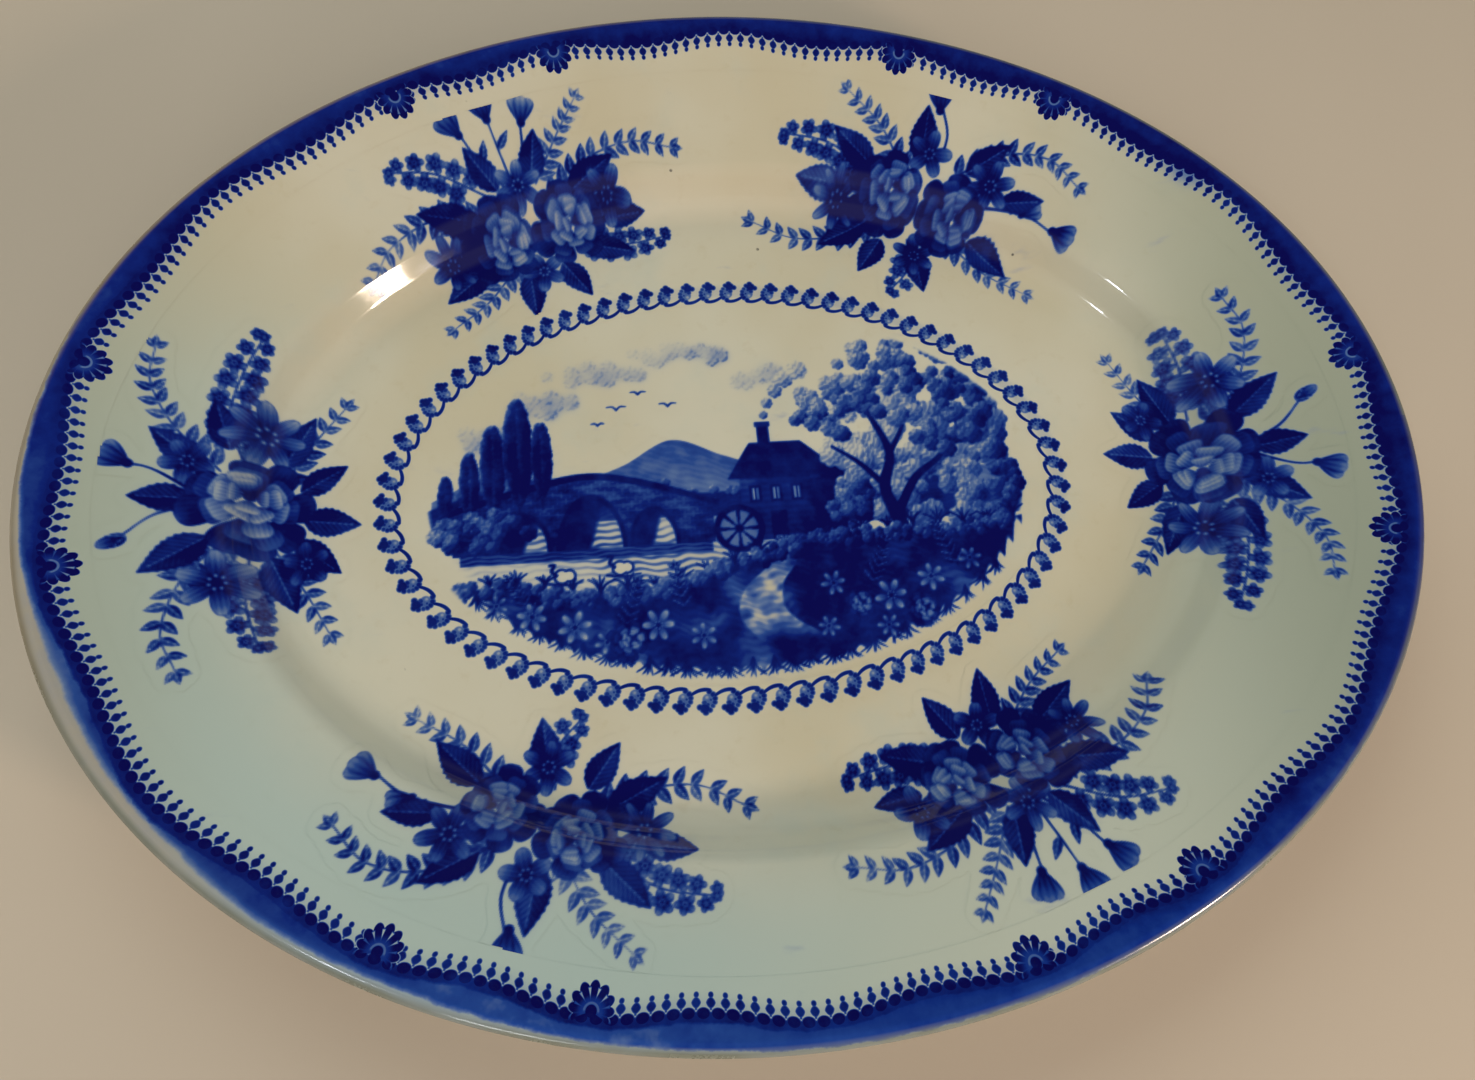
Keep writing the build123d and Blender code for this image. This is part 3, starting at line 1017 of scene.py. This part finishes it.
def poplar(x, y, tall, depth):
    """A narrow upright tree."""
    stroke(plate, [(x, y), (x, y + tall * 0.4)], 0.7, 0.4, 0.8)
    for k in range(int(tall * 1.3)):
        up = k / (tall * 1.3)
        half = 0.1 * tall * math.sin(math.pi * min(1, (1 - up) * 0.92 + 0.06)) ** 0.7
        for side in (-0.5, 0.5):
            px = x + side * half + luck.uniform(-0.3, 0.3)
            tone = depth * luck.uniform(0.8, 1.1)
            clump(px, y + tall * (0.14 + 0.86 * up), 0.5 + half * 0.5, tone)


def grasses(x, y, count, tall, depth=0.7):
    """A tuft of arching blades, which hangs if its height is below 0."""
    for k in range(count):
        lean = (k - (count - 1) / 2) / count * 2.2 + luck.uniform(-0.15, 0.15)
        high = tall * (1 - 0.25 * abs(lean)) * luck.uniform(0.85, 1.1)
        bent = (x + lean * tall * 0.25, y + high * 0.6)
        stroke(plate, [(x, y), bent, (x + lean * tall * 0.8, y + high)], 0.6, 0.2, depth)


# banks of cloud, and hills behind one another
for px, py, wide in ((-58, 30, 13), (-40, 39, 15), (-12, 45, 17), (12, 36, 9), (-74, 19, 9)):
    crown(px, py, wide, 3.2, 2.6, 0.26, int(wide * 1.5))
drift = plate.soften(1.5)
plate.ink = np.maximum(plate.ink * 0.75, drift * 0.9)
top = [(-90, 0), (-70, 8), (-52, 3), (-34, 8), (-18, 16), (-2, 10), (14, 5), (40, 9), (90, 0)]
ends = np.clip((0.965 - oval) / 0.02, 0, 1) * (y > -14)
wash(under(top) * ends, np.clip(0.44 - (16 - y) * 0.012, 0.16, 1) + 0.05 * ruled(1.9, 0.5, 0.3))
top = [(-92, -3), (-70, 3), (-48, -2), (-30, 2), (-6, -2), (30, 3), (60, 0), (92, -6)]
wash(under(top) * ends, 0.58 + 0.08 * ruled(1.5, 0.5, -0.3))
for _ in range(46):
    px = luck.uniform(-82, 84)
    clump(px, luck.uniform(-5, 2.5), luck.uniform(1.0, 2.6), luck.uniform(0.5, 0.85))

# river, with the light left along its middle
shore = under([(-92, -11), (-40, -9), (0, -10), (30, -16), (60, -22)])
light = 0.5 + 0.5 * np.sin(x * 0.07 + y * 0.16 + 0.5)
water = 0.04 + 0.34 * ruled(2.1, 0.45) ** 2 * (0.25 + light)
wash(shore * (y > -41) * (x < 50) * np.clip((0.95 - oval) / 0.05, 0, 1), water)

# bridge of three arches with a parapet
arches = ((-63, 6.5, 10), (-43.5, 9, 14.5), (-25, 6.5, 10))
spans = [np.hypot((x - middle) / half, (y + 17) / high) for middle, half, high in arches]
openings = np.zeros_like(x)
rings = np.zeros_like(x)
for span, (_, half, _) in zip(spans, arches):
    openings = np.maximum(openings, inside((1 - span) * half, 0.3))
    rings = np.maximum(rings, inside(0.62 - np.abs(1.07 - span) * half, 0.2))
deck = under([(-84, -5), (-62, 1.5), (-44, 4.5), (-27, 1.5), (-7, -6)]) * (y > springing)
courses = np.cos(math.pi * y / 2.1) ** 14
joints = np.cos(math.pi * (x / 2.6 + np.round(y / 2.1) * 0.5)) ** 16
stones = 0.62 - 0.2 * np.maximum(courses, joints) + 0.012 * (-4 - y)
wash(deck * (1 - openings), stones + 0.1 * np.sin(x * 0.5 + 2 * np.sin(y)))
for span, (middle, half, _) in zip(spans, arches):
    shade = np.clip((middle + 1.5 - x + (y + 12) * 0.3) / 1.5, 0, 1) * (y > springing)
    wash(shade * np.clip((1 - span) * half / 0.3, 0, 1), 0.84)
wash(rings * deck, 0.95)
rail = (y > -8) * under([(-86, -3.4), (-62, 3.4), (-44, 6.4), (-27, 3.4), (-5, -4.4)])
wash(rail * (1 - under([(-86, -5.2), (-62, 1.3), (-44, 4.3), (-27, 1.3), (-5, -6.2)])), 0.9)
wash(block(-82, -8, -20.5, springing), 0.7 - 0.4 * ruled(1.3, 0.3))

# mill with a hipped roof, its chimney, windows, door and wheel
wash(block(2, 24, -18, 3), 0.4 + 0.1 * ruled(2.0) + 0.012 * x)
wash(block(24, 34, -18, 1), 0.82)
roof = under([(-1.5, 2), (6, 13.5), (22, 13.5), (27, 2)], False) * (y > 2)
wash(roof, 0.84 + 0.12 * ruled(1.7))
hip = (y > 0.4) * (x > 22 + (13.5 - y) * 0.42)
wash(under([(21, 15), (22, 13.5), (36.5, 0.5)], False) * hip, 0.97)
wash(block(9, 12.5, 10, 20), 0.86)
wash(block(8.3, 13.2, 19, 20.6), 0.6)
for left in (5.0, 11.4, 17.8):
    wash(block(left - 0.3, left + 3.3, -6, -0.5), 0.97)
    bar = np.abs(x - left - 1.5) < 0.22
    wash(block(left + 0.5, left + 2.5, -5.2, -1.2), 0.08 + 0.8 * bar)
wash(block(10.6, 15.4, -18, -9), 0.98)
wheel = np.hypot(x - 0.5, y + 14)
spokes = np.cos(4 * np.arctan2(y + 14, x - 0.5)) ** 2 > 0.86
wash(inside(7.6 - wheel), np.where(wheel > 5.9, 0.94, 0.22 + 0.68 * spokes))
wash(inside(1.3 - wheel), 0.95)
for k, (px, py) in enumerate(((11.5, 23), (13, 27), (16, 31), (19.5, 35), (24, 38))):
    clump(px, py, 1.6 + 0.5 * k, 0.42 - 0.04 * k, 0.25)

# poplars on the far bank, a great tree on the near one
for px, py, tall in ((-86, -9, 17), (-79, -9, 24), (-72, -9, 33), (-64.5, -8, 40), (-57.5, -4, 28)):
    poplar(px, py, tall, 0.85)
crown(-76, -10, 15, 5.5, 2.6, 0.9, 40)
crown(60, 10, 29, 26, 4.2, 0.5, 105)
for points, thick, thin, depth in (
    ([(52, -34), (51, -18), (47, -4), (50, 8), (45, 22)], 5.6, 1.2, 0.97),
    ([(50, -12), (57, -1), (66, 6), (73, 16)], 2.8, 0.8, 0.94),
    ([(48, -4), (40, 5), (32, 11)], 1.9, 0.6, 0.94),
    ([(49, 6), (55, 16), (60, 28)], 1.6, 0.5, 0.9),
):
    stroke(plate, points, thick, thin, depth)
for mass in (
    (35, 24, 15, 9, 3.0, 0.74, 38),
    (69, 22, 16, 14, 3.2, 0.86, 50),
    (54, 38, 19, 9, 3.0, 0.66, 44),
    (82, -5, 9, 14, 2.8, 0.92, 44),
    (36, -8, 7, 7, 2.4, 0.85, 24),
):
    crown(*mass)

# bank in front, with a path down it, flowers and ferns on it and grass hanging from it
top = [(-84, -28), (-66, -28), (-48, -32), (-24, -31), (2, -23), (26, -18), (50, -17), (70, -18)]
top.append((90, -15))
ragged = 0.985 - oval - 0.03 * np.abs(np.sin(x * 0.7 + np.sin(x * 0.23)))
bank = under(top) * np.clip(ragged / 0.01, 0, 1)
wash(bank, 0.68 + 0.12 * ruled(2.3, 1.1, 0.12) + 0.16 * clouded(plate, 3.0))
xs, ys = curve([(11, -17), (10, -24), (0, -33), (-2, -42), (6, -52)]).T
from_left = x - np.interp(-y, -ys, xs)
xs, ys = curve([(15.5, -17), (17, -25), (12, -33), (14, -42), (30, -52)]).T
from_right = np.interp(-y, -ys, xs) - x
path = np.clip(np.minimum(from_left, from_right) / 0.6, 0, 1) * (y < -17)
wash(path * np.clip((y + 50) / 5, 0, 1), 0.2 + 0.1 * ruled(2.0, 0.8) + 0.1 * clouded(plate, 1.0))
for k in range(-13, 14):
    px = k * 6 + luck.uniform(-1, 1)
    py = -59 * 0.955 * math.sqrt(max(0, 1 - (px / 93) ** 2))
    grasses(px, py + 2.5, 6, luck.uniform(-7, -4.5), 0.8)
for px in range(-78, 88, 8):
    py = np.interp(px, *np.array(top, float).T)
    crown(px + luck.uniform(-2, 2), py - 0.8, 5.2, 2.6, 1.8, 0.98, 14)
    grasses(px + 4, py + 0.5, 5, luck.uniform(3.5, 6), 0.9)
for px, py, lean in ((-60, -33, 140), (-36, -36, 60), (38, -28, 50), (66, -24, 120), (-18, -32, 100)):
    over = toward(lean, 5)[0]
    frond(plate, [(px, py - 6), (px + over, py), (px + 2 * over, py + 7)], 4.4, 0.95)
for px, py, size in (
    (-62, -37, 4.6), (-50, -41, 5.0), (-41, -46, 3.8), (-26, -42, 5.2), (-13, -46, 4.2), (44, -38, 5.2),
    (57, -33, 4.4), (42, -47, 3.6), (70, -28, 3.8), (27, -33, 4.0), (-72, -33, 3.4), (24, -46, 3.6),
):
    open_flower(plate, px, py, size, 6, px * 7, 0.55, 0.06)
for px, py, size in ((-35, -46, 6.0), (53, -43, 5.4), (34, -40, 5.0)):
    full_flower(plate, px, py, size, 20, 0.85, 0.03)

# two swans, and birds over the hills
for px, py in ((-36, -24), (-53, -25.5)):
    for grow, depth in ((0.45, 0.8), (0.0, 0.02)):
        disc(plate, px, py, 1.9 + grow, depth, 0.25)
        disc(plate, px + 2.2, py + 0.2, 1.5 + grow, depth, 0.25)
    neck = np.array([(-1.6, 0.4), (-2.9, 1.8), (-2.0, 3.6), (-3.4, 3.6)])
    stroke(plate, neck + (px, py), 0.9, 0.5, 0.85)
    stroke(plate, [(px - 4, py - 2), (px + 1, py - 2.6), (px + 6, py - 2)], 0.5, 0.3, 0.8)
for px, py, size in ((-34, 27, 3), (-27, 32, 2.4), (-18, 27.5, 2.7), (-40, 22, 2)):
    for wide in (-size, size):
        wing = [(px, py), (px + wide * 0.4, py + size * 0.4), (px + wide, py + size * 0.35)]
        stroke(plate, wing, 0.55, 0.3, 0.8)


def within_scroll(x, y):
    """Whether places lie on the floor of the well, inside the scroll."""
    room = scroll_rows[0] - 1
    return within_oval(x, y, scroll_middle, scroll_long + room, scroll_wide + room)


plate.ink *= np.clip((1.0 - np.hypot(x / 96, y / 60)) / 0.02, 0, 1)
printed("centre_scene", plate, scroll_middle, 0, 0.43, print_lift, within_scroll, 1.03)

# ---- Table, light and camera ----
# The platter lies on a plain pale table under soft light, with one bare lamp behind the viewer.
from mathutils import Matrix

table_mesh = bpy.data.meshes.new("table")
corners = [(-4, -4, 0), (4, -4, 0), (4, 4, 0), (-4, 4, 0)]
table_mesh.from_pydata(corners, [], [(0, 1, 2, 3)])
table = bpy.data.objects.new("table", table_mesh)
bpy.context.collection.objects.link(table)
recipe = Recipe("table_top")
where = recipe.add("ShaderNodeTexCoord", {}, {}, "Object")
shade = recipe.noise(where, 3.0, 2.0).between(0.3, 0.7)
paint = recipe.blend(tint(190, 175, 156), tint(184, 169, 150), shade)
shader = recipe.add("ShaderNodeBsdfPrincipled", {}, {"Base Color": paint, "Roughness": 0.7})
recipe.add("ShaderNodeOutputMaterial", {}, {"Surface": shader})
table_mesh.materials.append(recipe.material)


class Room(Recipe):
    """The walls and ceiling round the table, mixed as a recipe for the world's background."""

    def __init__(self, world):
        world.use_nodes = True
        self.tree = world.node_tree
        self.tree.nodes.clear()


# light comes in low from all sides, most of it from behind the viewer; the ceiling is dark
world = bpy.data.worlds.new("room")
bpy.context.scene.world = world
room = Room(world)
heading = room.add("ShaderNodeTexCoord", {}, {}, "Generated")
dark_way = {0: heading, 1: (0.05, 0.3, 0.953)}
overhead = room.add("ShaderNodeVectorMath", {"operation": "DOT_PRODUCT"}, dark_way, "Value")
_, ahead, rise = room.split(heading)
behind = ahead * -1
level = overhead.between(0.92, 0.72) * (0.06 + rise.between(0.28, 0.5) * (0.16 + behind * 0.06)) + 0.03
air = room.blend(tint(250, 250, 255), tint(255, 250, 240), behind.between(-0.5, 0.5))
sky = room.add("ShaderNodeBackground", {}, {"Color": air, "Strength": level})
room.add("ShaderNodeOutputWorld", {}, {"Surface": sky})


def lamp(name, heading, rise, away, size, power, colour, mirrored):
    """A soft lamp that faces the platter, by its compass heading and rise in degrees, and its distance."""
    light = bpy.data.lights.new(name, "AREA")
    light.shape = "RECTANGLE"
    light.size, light.size_y = size
    light.energy = power
    light.color = colour
    made = bpy.data.objects.new(name, light)
    bpy.context.collection.objects.link(made)
    level = away * math.cos(math.radians(rise))
    east = level * math.sin(math.radians(heading))
    north = level * math.cos(math.radians(heading))
    made.location = (east, north, away * math.sin(math.radians(rise)))
    made.rotation_euler = (-made.location).to_track_quat("-Z", "Y").to_euler()
    made.visible_glossy = mirrored


# two broad lamps screened to leave no glare on the glaze, and three small bare ones that glint in it
lamp("key", 185, 48, 1.6, (1.2, 1.2), 9.4, (1.0, 0.98, 0.93), False)
lamp("window", 340, 40, 1.7, (1.4, 1.4), 17.0, (0.89, 1.0, 0.98), False)
lamp("bulb", 133.0, 21.5, 1.3, (0.16, 0.14), 8.5, (1.0, 0.78, 0.6), True)
lamp("bulb_flare", 141.5, 17.5, 1.3, (0.1, 0.02), 0.16, (0.96, 0.9, 1.0), True)
lamp("far_bulb", 227.5, 46.5, 1.5, (0.1, 0.06), 1.6, (0.86, 0.92, 1.0), True)
lamp("low_bulb", 203, 15, 1.2, (0.2, 0.06), 1.6, (0.95, 0.97, 1.0), True)

lens = bpy.data.cameras.new("view")
lens.sensor_width = 36.0
lens.lens = 36.0 * 1057 / 1475
lens.clip_start = 0.01
camera = bpy.data.objects.new("view", lens)
bpy.context.collection.objects.link(camera)
tilt = Matrix.Rotation(math.radians(-18.56), 4, "X")
roll = Matrix.Rotation(math.radians(5.24), 4, "Y") @ Matrix.Rotation(math.radians(5.61), 4, "Z")
camera.matrix_world = Matrix.Translation((-0.0435, -0.1143, 0.3082)) @ (tilt @ roll).transposed()
bpy.context.scene.camera = camera
bpy.context.scene.view_settings.view_transform = "Standard"
